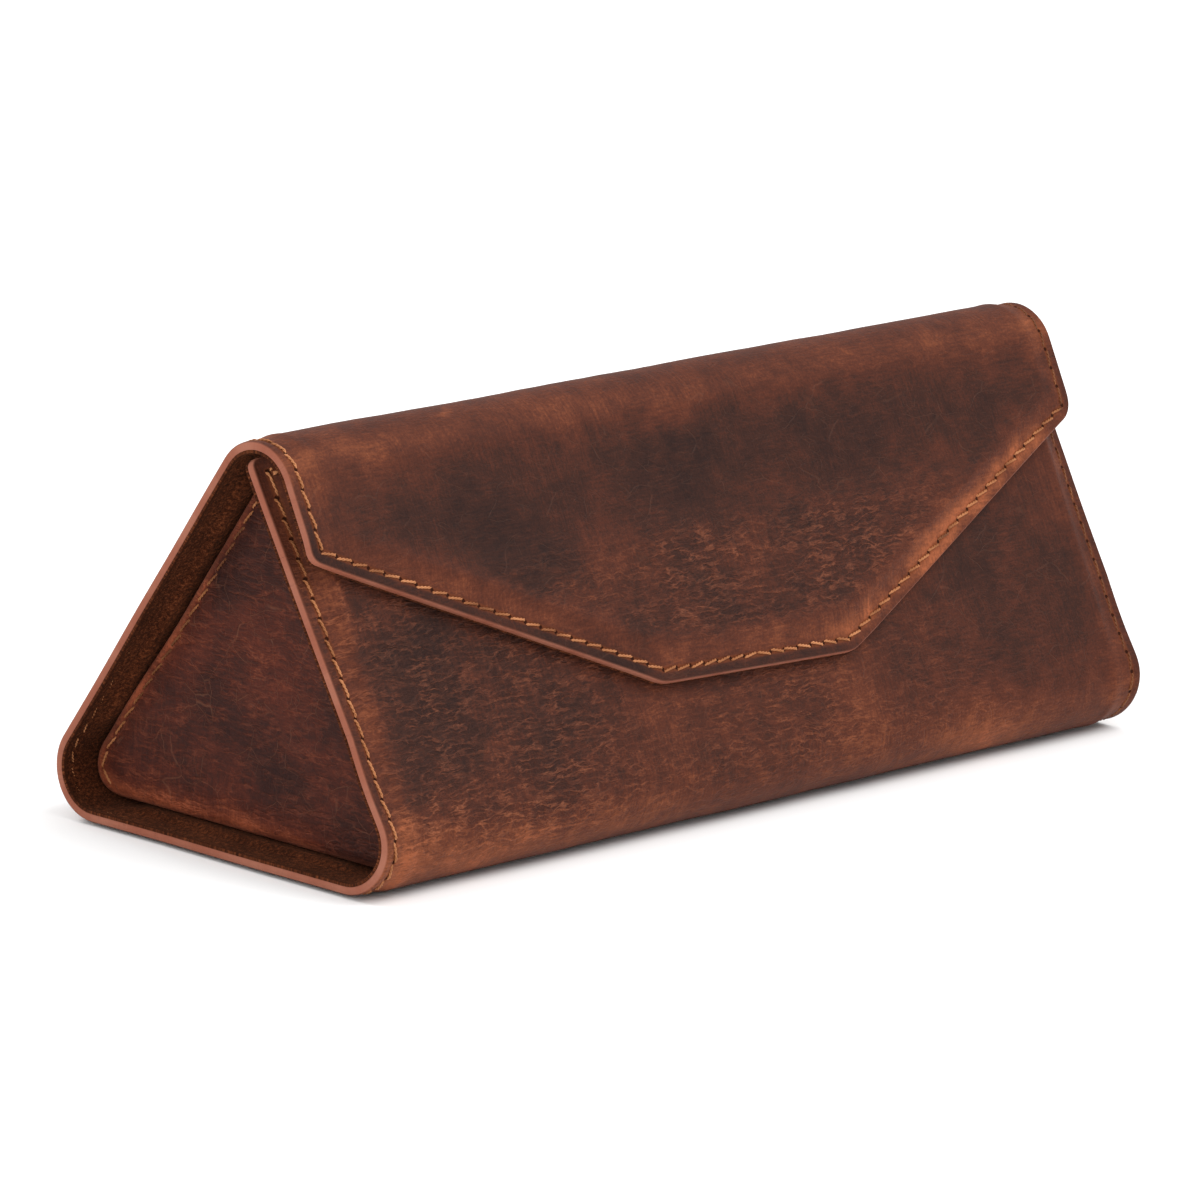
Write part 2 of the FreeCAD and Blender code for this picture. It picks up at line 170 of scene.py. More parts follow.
def round_corners(x, s):
    """Pull the points in each corner of the strip in to its rounding."""
    x, s = x.copy(), s.copy()
    for cx, cs, first, second, radii in CORNERS:
        first, second = np.array(first), np.array(second)
        for side, radius in zip((1, -1), radii):
            centre = np.array([cx, cs]) - radius * (first + second) / (1 + first @ second)
            v = np.stack([side * x, s], -1) - centre
            cross = first[0] * second[1] - first[1] * second[0]
            a = (v[..., 0] * second[1] - v[..., 1] * second[0]) / cross
            b = (first[0] * v[..., 1] - first[1] * v[..., 0]) / cross
            inside = (a > 0) & (b > 0) & (np.hypot(v[..., 0], v[..., 1]) < 3 * radius)
            size = np.maximum(np.hypot(v[..., 0], v[..., 1]), 1e-9)
            near = np.maximum(v @ first, v @ second) / size
            x[inside] = side * (centre[0] + v[..., 0] * near)[inside]
            s[inside] = (centre[1] + v[..., 1] * near)[inside]
    return x, s


CURL_SPAN = 11.0          # along the front's top edge, from each end
CURL_DEPTH = 6.0          # down the front
CURL_RISE = (1.6, 1.0)    # at the left-hand end and at the right-hand end


def by_hand(x, s):
    """The unevenness of a hand-cut outline, with the front's top edge curled up at its ends."""
    lean = smooth(s - S_FLAP, 12, FLAP_DROP)
    wave = noise_at(s, np.sign(x) * 40, 19.0, 3.0) * smooth(np.abs(x), 60, HALF)
    curl = (1 - smooth(HALF - np.abs(x), 0, CURL_SPAN)) * smooth(CURL_DEPTH - s, 0, CURL_DEPTH)
    curl = curl * np.where(x < 0, *CURL_RISE)
    x = x - 0.9 * lean + 0.16 * wave
    s = s + 0.65 * lean * np.clip(x / FLAP_HALF, -1.2, 1.2) - curl
    return x, s


def flap_row(x, d):
    """s of the line that runs d inside the slanting sides and the tip."""
    slant = FLAP_CORNER + (HALF - np.abs(x)) * SLANT - d * SLANT_HYP
    return S_FLAP - 0.2 * np.logaddexp(-slant / 0.2, -(FLAP_DROP - d) / 0.2)


RIM_BAND = 7.2    # width of the finely divided band


def steps(start, end, size):
    """Even steps of about the given size from start to end, both included."""
    return np.linspace(start, end, max(2, round(abs(end - start) / size) + 1))


def strip_grid(inset, fine, coarse):
    """Flat coordinates of a grid over the strip, less inset at its edges, with its cuts.

    Steps are fine in a band beside the edge, where the seam and the rounded corners are.
    """
    rim = steps(inset, RIM_BAND, fine)
    x = np.concatenate([rim - HALF, steps(RIM_BAND - HALF, HALF - RIM_BAND, coarse)[1:-1],
                        (HALF - rim)[::-1]])
    knots = (RIM_BAND, S_FRONT_FOLD, S_BASE, MID_BASE, S_REAR_FOLD, S_BACK, MID_BACK,
             S_APEX, S_FLAP)
    spans = [steps(start, end, coarse)[1:] for start, end in zip(knots[:-1], knots[1:])]
    rows = np.concatenate([rim, *spans])
    cuts = [int(np.argmin(np.abs(rows - cut))) for cut in (MID_BASE, MID_BACK)]
    low = flap_row(x, RIM_BAND)
    share = steps(0, 1, coarse / (FLAP_DROP - RIM_BAND))[1:, None]
    grid = [np.repeat(rows[:, None], x.size, 1), S_FLAP + share * (low - S_FLAP)[None, :]]
    grid.append(np.stack([flap_row(x, d) for d in rim[::-1][1:]]))
    s = np.concatenate(grid)
    return np.repeat(x[None, :], s.shape[0], 0), s, cuts


# ---- relief of the strip ----

def board_window(s, start, end):
    """1 over the stiff boards, fading out between start and end beside each fold."""
    front = smooth(S_FRONT_FOLD - s, start, end)
    base = smooth(s - S_BASE, start, end) * smooth(S_REAR_FOLD - s, start, end)
    back = smooth(s - S_BACK, start, end) * smooth(S_APEX - s, start, end)
    flap = smooth(s - S_FLAP, FLAP_START + start, FLAP_START + end)
    return front + base + back + flap


def drift(x, s):
    """How far the whole thickness stands off the CAD section.

    The flap's edge dips to the front, the ends of the lower front fold flare out, and the
    front's sides curl in.
    """
    d = rim_distance(x, s)
    side = HALF - np.abs(x)
    dip = -0.5 * (1 - smooth(d, 0, 5.5)) * smooth(s - S_FLAP, 8, 14)
    flare = 0.8 * bell(side, 4.5) * bell(s - S_FRONT_FOLD - 2, 6.0)
    curl = np.where(x < 0, 3.2, 2.0)
    tuck = -curl * (1 - smooth(side, 0, 5.4)) * np.clip(1 - s / 40, 0, 1)
    return dip + flare + tuck


STITCH_PATH = np.array([
    (0, STITCH_MARGIN),
    (HALF - STITCH_MARGIN, STITCH_MARGIN),
    (HALF - STITCH_MARGIN, S_FLAP + FLAP_CORNER + STITCH_MARGIN * (SLANT - SLANT_HYP)),
    (FLAP_HALF - STITCH_MARGIN * (SLANT_HYP - 1) / SLANT, S_TIP - STITCH_MARGIN),
    (0, S_TIP - STITCH_MARGIN)])
STITCH_COUNTS = (27, 72, 22, 7)
STITCH_STARTS = np.concatenate([[0], np.cumsum(STITCH_COUNTS)])


def seam_run(x, s):
    """Place along the seam, in stitches from the middle of the front's top edge."""
    nearest = np.argmin(edge_distances(x, s)[[1, 0, 2, 3]], axis=0)
    run = np.zeros(x.shape)
    for index, count in enumerate(STITCH_COUNTS):
        start, end = STITCH_PATH[index], STITCH_PATH[index + 1]
        along = ((np.abs(x) - start[0]) * (end - start)[0]
                 + (s - start[1]) * (end - start)[1]) / np.sum((end - start) ** 2)
        run = np.where(nearest == index, STITCH_STARTS[index] + count * along, run)
    return run


def pebble_mask(x, s):
    """Where the grain is drawn up into wrinkles, 0 to 1."""
    y = s - S_FLAP
    flap = bell(x - 8, 58) * smooth(y, 14, 22) * smooth(rim_distance(x, s), 4, 8)
    front = bell(x + 52, 34) * smooth(s, 6, 16) * smooth(S_BASE - s, 4, 14)
    low_front = 0.6 * bell(x - 4, 40) * smooth(s, 30, 44) * smooth(S_BASE - s, 4, 14)
    front = np.maximum(front, low_front)
    back = 0.8 * bell(x - 30, 40) * smooth(s, S_BACK, S_BACK + 20) * smooth(S_APEX - s, 0, 12)
    patchy = 0.82 + 0.28 * noise_at(x, s, 16, 5.0)
    return np.clip((flap + front + back) * patchy, 0, 0.9)


def leather_top(x, s):
    """Level of the outer face: raised over the boards, sunk and puckered along the seam,
    wrinkled where the grain is drawn up, and flat under the base, where it rests.
    """
    d = rim_distance(x, s)
    window = board_window(s, 0.8, 6.0)
    amount = FOLD_PUFF + (PAD_RISE - FOLD_PUFF) * window
    on_base = smooth(s, S_BASE - 4, S_BASE) * smooth(S_REAR_FOLD + 4 - s, 0, 4)
    ridge = 0.3 * (1 - on_base) * bell(d - 5.6, 0.9)
    rise = amount * (smooth(d, 3.0, 5.5) + ridge)
    pull = 0.75 + 0.25 * np.cos(2 * math.pi * seam_run(x, s))
    seam = -0.22 * bell(d - STITCH_MARGIN, 0.6) * pull
    field = smooth(d, 4.5, 9)
    sway = 0.075 * noise_at(x, s, 27, 1.0) + 0.05 * noise_at(x, s, 9.5, 2.0)
    bent = s + 1.2 * noise_at(x, s, 7.0, 8.0)
    crease = meander_at(0.55 * x, bent, 2.2, 0.3, 4.0) + meander_at(x, bent, 4.0, 0.16, 4.5)
    lumps = noise_at(0.8 * x, 1.2 * s, 2.1, 6.0)
    wrinkle = pebble_mask(x, s) * (0.035 * lumps - 0.075 * crease)
    loose = 0.02 * noise_at(x, s, 3.6, 7.0)
    uneven = field * (sway + loose) + smooth(d, 3, 6) * wrinkle
    uneven = uneven * (1 - on_base) - 0.05 * field * on_base * np.abs(loose) / 0.02
    return FOLD_RADIUS + rise + seam + uneven + drift(x, s)


def board_field(x, s):
    """1 where a board lies between the leather and its lining."""
    return smooth(rim_distance(x, s), 3.8, 5.4) * board_window(s, 1.0, 5.4)


def leather_bottom(x, s):
    """Level of the leather's inner face, clear of the boards."""
    step = PAD_RISE + 0.04
    field = board_field(x, s)
    return LEATHER_UNDER + 0.02 + step * field + drift(x, s) * (1 - field)


def lining_top(x, s):
    """Level of the lining's glued face, which sinks to make room for the boards."""
    field = board_field(x, s)
    return LEATHER_UNDER - 0.02 - 0.72 * field + drift(x, s) * (1 - field)


def lining_bottom(x, s):
    """Level of the suede face inside the case."""
    field = board_field(x, s)
    nap = 0.02 * noise_at(x, s, 1.9, 9.0) + 0.03 * noise_at(x, s, 8.0, 9.5)
    seam = 0.16 * bell(rim_distance(x, s) - STITCH_MARGIN, 0.6)
    return LINING_UNDER - 0.7 * field + seam + nap + drift(x, s) * (1 - field)


# ---- meshes ----

def vertex_normals(points, quads):
    """Smooth normals of a quad mesh, weighted by area."""
    a, b, c, d = (points[quads[:, i]] for i in range(4))
    face = np.cross(c - a, d - b)
    total = np.zeros_like(points)
    for i in range(4):
        np.add.at(total, quads[:, i], face)
    return total / np.maximum(np.linalg.norm(total, axis=1), 1e-12)[:, None]


def new_mesh(name, points, faces, attributes, material, normals=None):
    """A smooth mesh from points in mm.  Attributes are floats or vectors, one per point."""
    mesh = bpy.data.meshes.new(name)
    mesh.from_pydata((points * MM).tolist(), [], [list(map(int, f)) for f in faces])
    for key, values in attributes.items():
        kind = "FLOAT_VECTOR" if values.ndim == 2 else "FLOAT"
        attribute = mesh.attributes.new(key, kind, "POINT")
        field = "vector" if values.ndim == 2 else "value"
        attribute.data.foreach_set(field, np.ascontiguousarray(values, np.float32).ravel())
    mesh.shade_smooth()
    if normals is not None:
        mesh.normals_split_custom_set_from_vertices(normals.tolist())
    mesh.materials.append(material)
    item = bpy.data.objects.new(name, mesh)
    bpy.context.scene.collection.objects.link(item)
    return item


def border(rows, columns):
    """Grid indices round the grid's edge, clockwise from the first corner."""
    index = np.arange(rows * columns).reshape(rows, columns)
    return np.concatenate([index[0, :-1], index[:-1, -1], index[-1, :0:-1], index[:0:-1, 0]])


def outward(x, s):
    """Unit normals of a closed clockwise loop in flat coordinates."""
    tx, ts = np.roll(x, -1) - np.roll(x, 1), np.roll(s, -1) - np.roll(s, 1)
    size = np.hypot(tx, ts)
    return ts / size, -tx / size


# A rounded edge for the leather, from its upper to its lower face, and a squarer one for
# the lining.
RIM_PROFILE = [(0.5 * (1 - abs(math.cos(math.radians(a))) ** 0.75),
                0.5 + 0.5 * math.copysign(abs(math.sin(math.radians(a))) ** 0.75, a))
               for a in (90, 72, 54, 36, 18, 0.001, -18, -36, -54, -72, -90)]
LINING_PROFILE = [(0.1, 1.0), (0.03, 0.93), (0.0, 0.75), (0.0, 0.25), (0.03, 0.07), (0.1, 0.0)]
UNDERSIDE_LAYER = 60.0    # sets the noise of the two faces of the strip apart


def strip_surface(x, s, loop, inset, levels, rim, profile):
    """Points of the upper grid, the rings of the edge and the lower grid, with attributes."""
    top, bottom = levels(x, s)
    lx, ls = x.ravel()[loop], s.ravel()[loop]
    nx, ns = outward(lx, ls)
    high, low = rim(lx, ls)
    parts = [(x.ravel(), s.ravel(), top.ravel(), np.zeros(x.size))]
    for inside, share in profile:
        burnished = np.full(lx.size, float(smooth(1 - share, 0.02, 0.16)))
        parts.append((lx + nx * (inset - inside), ls + ns * (inset - inside),
                      low + share * (high - low), burnished))
    parts.append((x.ravel(), s.ravel(), bottom.ravel(), np.ones(x.size)))
    fx, fs, fr, edge = (np.concatenate(column) for column in zip(*parts))
    side_layer = np.zeros(fx.size)
    side_layer[-x.size:] = UNDERSIDE_LAYER
    pebbled = np.zeros(fx.size)
    pebbled[:x.size] = pebble_mask(x, s).ravel()
    attributes = {
        "skin": np.stack([fx, fs, side_layer], -1),
        "rim": np.min(edge_distances(fx, fs), axis=0),
        "run": seam_run(fx, fs),
        "edge": edge,
        "pebble": pebbled,
        "tone": leather_tone(fx, fs),
    }
    wx, ws = by_hand(fx, fs)
    return to_world(wx, ws, fr), attributes


def strip_faces(rows, columns, lower, rings):
    """Quads of the upper grid, the lower grid and the edge, and the grid row of each."""
    index = np.arange(rows * columns).reshape(rows, columns)
    quads = np.stack([index[:-1, :-1], index[1:, :-1], index[1:, 1:], index[:-1, 1:]], -1)
    quads = quads.reshape(-1, 4)
    quad_row = np.repeat(np.arange(rows - 1), columns - 1)
    loop = rings[0]
    loop_row = np.minimum(loop // columns, np.roll(loop, -1) // columns)
    loop_row = np.minimum(loop_row, rows - 2)
    faces, face_row = [quads, quads[:, ::-1] + lower], [quad_row, quad_row]
    for a, b in zip(rings[:-1], rings[1:]):
        faces.append(np.stack([a, np.roll(a, -1), np.roll(b, -1), b], -1))
        face_row.append(loop_row)
    return np.concatenate(faces), np.concatenate(face_row)


def cut_wall(row, columns, lower, rings):
    """The points and faces that close a piece along a row where the strip is cut."""
    across = row * columns + np.arange(columns)
    left = int(np.flatnonzero(rings[0] == across[0])[0])
    right = int(np.flatnonzero(rings[0] == across[-1])[0])
    wall = np.concatenate([across, across + lower, [ring[left] for ring in rings[1:-1]],
                           [ring[right] for ring in rings[1:-1]]])
    n, k = columns, len(rings) - 2
    j = np.arange(n - 1)
    faces = np.stack([j, j + 1, n + j + 1, n + j], -1).tolist()
    faces.append([0, n, *range(2 * n + k - 1, 2 * n - 1, -1)])
    faces.append([n - 1, *range(2 * n + k, 2 * n + 2 * k), 2 * n - 1])
    return wall, faces


def strip_pieces(names, inset, fine, coarse, levels, rim, profile, material):
    """The whole strip as closed solids, cut at the middle of the base and of the back.

    levels gives the top and bottom level of the two grids, and rim the two levels that
    the edge profile runs between.  A profile point is (distance inside the outline, share
    of the way from the lower level to the upper).
    """
    x, s, cuts = strip_grid(inset, fine, coarse)
    x, s = round_corners(x, s)
    rows, columns = x.shape
    loop = border(rows, columns)
    points, attributes = strip_surface(x, s, loop, inset, levels, rim, profile)
    lower = x.size + loop.size * len(profile)
    rings = [x.size + k * loop.size + np.arange(loop.size) for k in range(len(profile))]
    rings = [loop, *rings, lower + loop]
    faces, face_row = strip_faces(rows, columns, lower, rings)
    normals = vertex_normals(points, faces)

    bounds = [0, *cuts, rows - 1]
    pieces = []
    for name, first, last in zip(names, bounds[:-1], bounds[1:]):
        chosen = faces[(face_row >= first) & (face_row < last)]
        used, packed = np.unique(chosen, return_inverse=True)
        piece_faces = packed.reshape(chosen.shape).tolist()
        picks = used
        for row, is_start in ((first, True), (last, False)):
            if row in (0, rows - 1):
                continue
            wall, wall_faces = cut_wall(row, columns, lower, rings)
            for face in wall_faces:
                face = [picks.size + i for i in face]
                piece_faces.append(face[::-1] if is_start else face)
            picks = np.concatenate([picks, wall])
        own = normals[picks].copy()
        own[used.size:] = 0
        values = {key: value[picks] for key, value in attributes.items()}
        pieces.append(new_mesh(name, points[picks], piece_faces, values, material, own))
    return pieces


def tubes(paths, radius, sides):
    """Closed tubes along paths of shape (count, steps, 3)."""
    count, length, _ = paths.shape
    tangent = np.gradient(paths, axis=1)
    tangent /= np.linalg.norm(tangent, axis=2)[..., None]
    up = np.zeros_like(paths)
    up[..., 2] = 1
    across = np.cross(tangent, up)
    across /= np.maximum(np.linalg.norm(across, axis=2), 1e-9)[..., None]
    normal = np.cross(across, tangent)
    angle = 2 * math.pi * np.arange(sides) / sides
    ring = (across[..., None, :] * np.cos(angle)[:, None]
            + normal[..., None, :] * np.sin(angle)[:, None])
    points = (paths[..., None, :] + radius * ring).reshape(-1, 3)
    index = np.arange(count * length * sides).reshape(count, length, sides)
    after = np.roll(index, -1, 2)
    quads = np.stack([index[:, :-1], after[:, :-1], after[:, 1:], index[:, 1:]], -1)
    faces = quads.reshape(-1, 4).tolist()
    faces += index[:, 0, ::-1].tolist() + index[:, -1].tolist()
    return points, faces


STITCH_SHARE = 0.98    # of the way from hole to hole
STITCH_LIFT = 0.17     # of a stitch's middle off its level
STITCH_DROP = 0.42     # of its ends into the holes
PLY_TURNS = 2.3        # of the two plies round each other, along one stitch
PLY_OFFSET = 0.1       # of each ply from the middle of the thread
PLY_RADIUS = 0.12
GUSSET_PLY_RADIUS = 0.095
PLY_SIDES = 7
HOLE_SCATTER = 0.05    # of the holes, which are pricked by hand


def stitch_points(starts, ends, level, lean, direction):
    """Two twisted plies for each stitch, as paths in flat coordinates."""
    t = np.linspace(0, 1, 15)
    middle = (starts + ends) / 2
    half = (ends - starts) / 2
    turned = half + lean * np.stack([-half[:, 1], half[:, 0]], -1)
    across = np.stack([-half[:, 1], half[:, 0]], -1)
    across /= np.linalg.norm(across, axis=1)[:, None]
    flat = middle[:, None] + turned[:, None] * (2 * t - 1)[None, :, None] * STITCH_SHARE
    arch = 1 - np.abs(2 * t - 1) ** 7
    rise = STITCH_LIFT * arch - STITCH_DROP * (1 - arch)
    height = level[:, None] + direction * rise[None, :]
    phase = rng.uniform(0, 2 * math.pi, len(starts))
    twist = phase[:, None] + 2 * math.pi * PLY_TURNS * t[None, :]
    plies = []
    for ply in (0, math.pi):
        side = PLY_OFFSET * np.cos(twist + ply)
        rise = PLY_OFFSET * np.sin(twist + ply)
        point = np.concatenate([flat + across[:, None] * side[..., None],
                                (height + rise)[..., None]], -1)
        plies.append(point)
    return np.concatenate(plies)


def worn_end(x):
    """1 along the right-hand end, where the thread has sunk and darkened."""
    return smooth(x, HALF - 3.4, HALF - 2.2)


def seam_holes():
    """Stitch holes along the whole seam, from the front's top middle both ways."""
    half = []
    for start, end, count in zip(STITCH_PATH[:-1], STITCH_PATH[1:], STITCH_COUNTS):
        half.append(start + (end - start) * (np.arange(count) / count)[:, None])
    half = np.concatenate(half + [STITCH_PATH[-1:]])
    pairs = np.stack([half[:-1], half[1:]], 1)
    return np.concatenate([pairs, pairs * (-1, 1)])


def thread_pieces(names, material):
    """The seam's stitches on both faces of the strip, shared out between its pieces."""
    pairs = seam_holes()
    pairs = pairs + rng.normal(0, HOLE_SCATTER, pairs.shape)
    middle = pairs.mean(1)
    x, s = middle[:, 0], middle[:, 1]
    valley = FOLD_RADIUS - 0.2 - 0.12 * worn_end(x) + drift(x, s)
    bare = 0.12 * noise_at(x, s, 16, 41.0) + 0.16 * bell(s - S_BACK, 13)
    inner = LINING_UNDER + 0.56 - bare + drift(x, s)
    sign = np.where(x >= 0, 1.0, -1.0)
    pieces = []
    for name, low, high in zip(names, (-1, MID_BASE, MID_BACK), (MID_BASE, MID_BACK, 999)):
        chosen = (s >= low) & (s < high)
        start, end = pairs[chosen, 0], pairs[chosen, 1]
        lean = 0.2 * sign[chosen][:, None]
        outer = stitch_points(start, end, valley[chosen], lean, 1)
        under = stitch_points(start, end, inner[chosen], -lean, -1)
        points, faces = tubes(np.concatenate([outer, under]), PLY_RADIUS, PLY_SIDES)
        wx, ws = by_hand(points[:, 0], points[:, 1])
        values = {"skin": points, "dull": worn_end(points[:, 0])}
        pieces.append(new_mesh(name, to_world(wx, ws, points[:, 2]), faces, values, material))
    return pieces


# ---- gussets ----

GUSSET_REACH = 5.0     # level of the gusset's outline along the front and the base
HEM_REACH = 4.3        # and along the back, where its edge is hemmed and free
CAP_RADIUS = 4.2
GUSSET_LAYER = 20.0    # sets the noise of the two gussets apart


def gusset_loop():
    """Outline (y, z), outward normals and hem share, from the cap down the front."""
    front_n = np.array([math.cos(math.radians(153)), math.sin(math.radians(153))])
    back_n = np.array([math.cos(math.radians(33)), math.sin(math.radians(33))])
    offsets = [FRONT_AXIS @ front_n + GUSSET_REACH - CAP_RADIUS,
               REAR_AXIS @ back_n + HEM_REACH - CAP_RADIUS]
    cap = np.linalg.solve(np.stack([front_n, back_n]), offsets)
    s_low = FRONT_TOP - (cap - FRONT_AXIS) @ UP_FRONT
    s_high = S_BACK + (cap - REAR_AXIS) @ UP_BACK
    s = np.concatenate([steps(a, b, size)[:-1] for a, b, size in
                        ((s_low, S_FRONT_FOLD, 0.7), (S_FRONT_FOLD, S_BASE, 0.8),
                         (S_BASE, S_REAR_FOLD, 0.7), (S_REAR_FOLD, S_BACK, 0.8),
                         (S_BACK, s_high, 0.7))])
    axis, normal = section(s)
    corner = 0.5 * bell(s - (S_REAR_FOLD + S_BACK) / 2, 5.0)
    reach = corner + GUSSET_REACH + (HEM_REACH - GUSSET_REACH) * smooth(s - S_BACK, 6, 26)
    turn = np.radians(np.arange(33, 153, 9.0))
    cap_n = np.stack([np.cos(turn), np.sin(turn)], -1)
    points = np.concatenate([axis + reach[:, None] * normal, cap + CAP_RADIUS * cap_n])
    normals = np.concatenate([normal, cap_n])
    hem = np.concatenate([smooth(s, S_REAR_FOLD, S_REAR_FOLD + 8), np.ones(len(turn))])
    return points, normals, hem


FLANGE_PROFILE = [  # distance inside the outline, |x|
    (3.2, 77.0), (2.6, 77.0), (2.0, 76.97), (1.4, 76.85), (0.85, 76.6), (0.4, 76.2),
    (0.1, 75.6), (0.0, 74.8), (0.0, 72.5), (0.0, 70.2), (0.15, 69.9), (0.85, 69.9),
    (1.0, 70.2), (1.0, 72.5), (1.0, 75.0), (1.3, 75.85), (3.2, 75.9)]
HEM_PROFILE = [
    (3.2, 77.0), (2.6, 77.0), (1.9, 76.97), (1.3, 76.9), (0.75, 76.75), (0.35, 76.5),
    (0.1, 76.15), (0.0, 75.85), (0.05, 75.5), (0.25, 75.2), (0.6, 74.97), (1.1, 74.9),
    (1.8, 74.9), (2.4, 74.9), (2.7, 75.0), (2.9, 75.5), (3.2, 75.9)]
HEM_STITCH = 1.75
AWAY_FROM_SEAM = 9.0   # distance that keeps the seam's lane and holes off the gussets
FACING_INSET = 1.2     # of the suede facing, inside a flange
HEM_INSET = 2.95       # and inside the hem


def filled(loop, spacing):
    """Points and triangles that fill a closed loop evenly."""
    low, high = loop.min(0), loop.max(0)
    inner = []
    closed = np.concatenate([loop, loop[:1]])
    edge = closed[1:] - closed[:-1]
    for row, z in enumerate(np.arange(low[1], high[1], spacing * 0.866)):
        for y in np.arange(low[0] + (row % 2) * spacing / 2, high[0], spacing):
            offset = np.array([y, z]) - closed[:-1]
            along = np.clip(np.sum(offset * edge, 1) / np.sum(edge ** 2, 1), 0, 1)
            gap = np.linalg.norm(offset - along[:, None] * edge, axis=1).min()
            crossing = ((closed[:-1, 1] > z) != (closed[1:, 1] > z)) & (
                offset[:, 0] < offset[:, 1] * edge[:, 0] / np.where(edge[:, 1] == 0, 1e-9,
                                                                   edge[:, 1]))
            if crossing.sum() % 2 and gap > spacing * 0.55:
                inner.append((y, z))
    everything = [Vector(p) for p in loop.tolist() + inner]
    ring = [(i, (i + 1) % len(loop)) for i in range(len(loop))]
    found = geometry.delaunay_2d_cdt(everything, ring, [], 1, 1e-6)
    return np.array([tuple(p) for p in found[0]]), found[2]


def gusset_leather(side, name, outline, material):
    """A gusset's face with its turned-in flange and its hem."""
    loop, normal, hem = outline
    count = len(loop)
    flat, across, inside = [], [], []
    for (d_flange, x_flange), (d_hem, x_hem) in zip(FLANGE_PROFILE, HEM_PROFILE):
        d = d_flange + (d_hem - d_flange) * hem
        across.append(x_flange + (x_hem - x_flange) * hem)
        flat.append(loop - d[:, None] * normal)
        inside.append(d)
    rings = len(flat)
    filled_points, triangles = filled(flat[0], 0.72)
    under_points, under_triangles = filled(flat[-1], 1.6)
    assert np.allclose(filled_points[:count], flat[0], atol=1e-4)
    assert np.allclose(under_points[:count], flat[-1], atol=1e-4)
    yz = np.concatenate(flat + [filled_points[count:], under_points[count:]])
    face_depth = np.concatenate([np.concatenate(across),
                                 np.full(len(filled_points) - count, GUSSET_FACE),
                                 np.full(len(under_points) - count, GUSSET_FACE - 1.1)])
    y, z = yz[:, 0], yz[:, 1]
    order = GUSSET_LAYER * side
    gaps = np.stack([np.linalg.norm(loop - p, axis=1) for p in yz])
    depth_in = np.concatenate([np.concatenate(inside), gaps.min(1)[rings * count:]])
    is_hem = hem[gaps.argmin(1)]
    outer = smooth(face_depth, 76.6, 76.95)
    puff = 0.28 * smooth(depth_in, 2.6, 5.2) + 0.10 * bell(depth_in - 5.2, 1.2) * is_hem
    sway = 0.16 * noise_at(y, z, 13, 11.0 + order) + 0.05 * noise_at(y, z, 4.2, 12.0 + order)
    crease = meander_at(y + 1.5 * noise_at(y, z, 6, 3.0), z, 6.5, 0.12, order)
    relief = puff * 0.6 + smooth(depth_in, 3, 7) * (sway - 0.06 * crease)
    relief = relief - 0.16 * bell(depth_in - HEM_STITCH, 0.55) * is_hem
    x = side * (face_depth + outer * relief)

    ids = np.arange(rings * count).reshape(rings, count)
    faces = []
    for a, b in zip(ids[:-1], ids[1:]):
        faces += np.stack([a, b, np.roll(b, -1), np.roll(a, -1)], -1).tolist()
    last = (rings - 1) * count
    under = last - count + len(filled_points)
    faces += [[i if i < count else i + last for i in t] for t in triangles]
    faces += [[i + (last if i < count else under) for i in t][::-1] for t in under_triangles]
    if side > 0:
        faces = [f[::-1] for f in faces]
    attributes = {
        "skin": np.stack([y, z, np.full(y.shape, 200.0 + order)], -1),
        "rim": np.full(y.shape, AWAY_FROM_SEAM),
        "run": np.zeros(y.shape),
        "edge": 0.45 * smooth(1.2 - depth_in, 0, 1.0),
        "pebble": np.full(y.shape, 0.45),
        "tone": gusset_tone(y, z, depth_in, is_hem, order),
    }
    return new_mesh(f"gusset_leather_{name}", np.stack([x, y, z], -1), faces, attributes,
                    material)


def gusset_lining(side, name, outline, material):
    """The suede facing behind a gusset's face."""
    loop, normal, hem = outline
    inset = FACING_INSET + (HEM_INSET - FACING_INSET) * hem
    body, triangles = filled(loop - inset[:, None] * normal, 1.3)
    y, z = body[:, 0], body[:, 1]
    order = GUSSET_LAYER * side
    nap = 0.03 * noise_at(y, z, 7, 14.0 + order)
    outer = np.stack([np.full(len(body), side * 74.88), y, z], -1)
    inner = np.stack([side * (74.4 + nap), y, z], -1)
    n = len(body)
    faces = [list(t) for t in triangles] + [[i + n for i in t][::-1] for t in triangles]
    ring = np.arange(len(loop))
    after = np.roll(ring, -1)
    faces += np.stack([ring, ring + n, after + n, after], -1).tolist()
    if side > 0:
        faces = [f[::-1] for f in faces]
    both = np.concatenate([outer, inner])
    skin = np.stack([both[:, 1], both[:, 2], np.full(len(both), 300 + order)], -1)
    return new_mesh(f"gusset_lining_{name}", both, faces, {"skin": skin}, material)


